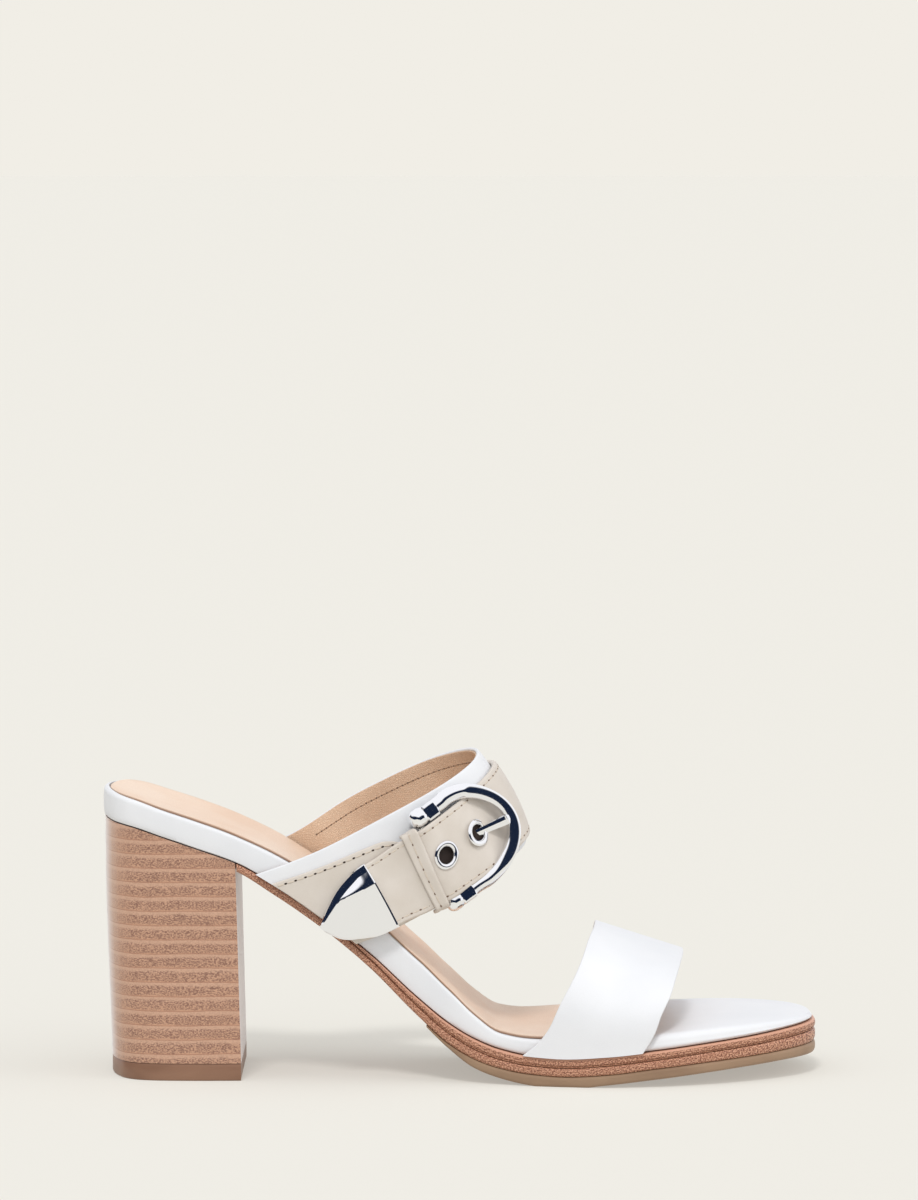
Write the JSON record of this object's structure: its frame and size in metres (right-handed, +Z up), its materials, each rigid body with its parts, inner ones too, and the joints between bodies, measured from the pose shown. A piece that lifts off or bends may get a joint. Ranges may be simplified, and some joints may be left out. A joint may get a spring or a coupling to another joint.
{
  "type": "block heel slide sandal",
  "caption": "Open-toe slide sandal: a plain toe band, an instep band with belt and buckle, a stacked block heel and a layered leather and rubber sole.",
  "frame": {"origin": "middle of the shoe's bounding box at floor level, the plane under the heel and the ball of the foot", "axes": "+X from heel to toe, +Z up, -Y to the outer side of the foot, where the buckle is"},
  "size_m": [0.227, 0.0852, 0.1025],
  "materials": {
    "white_leather": "smooth, satin",
    "tan_leather": "fine grain, matte",
    "sole_leather": "burnished edge, satin",
    "outsole_rubber": "matte",
    "stacked_leather": "layered, satin",
    "lift_rubber": "matte",
    "bone_leather": "smooth, satin",
    "chrome": "polished"
  },
  "bodies": {
    "root": {"top_lift": "lift_rubber", "heel_block": "stacked_leather", "outsole": "outsole_rubber", "midsole": "sole_leather", "welt": "sole_leather", "footbed": "white_leather", "sock": "tan_leather", "toe_strap": "white_leather", "instep_strap": "white_leather", "side_overlay": "bone_leather", "belt": "bone_leather", "keeper": "bone_leather", "belt_tip": "chrome", "buckle_frame": "chrome", "buckle_prong": "chrome", "eyelet_1": "chrome", "eyelet_2": "chrome"}
  },
  "joints": []
}
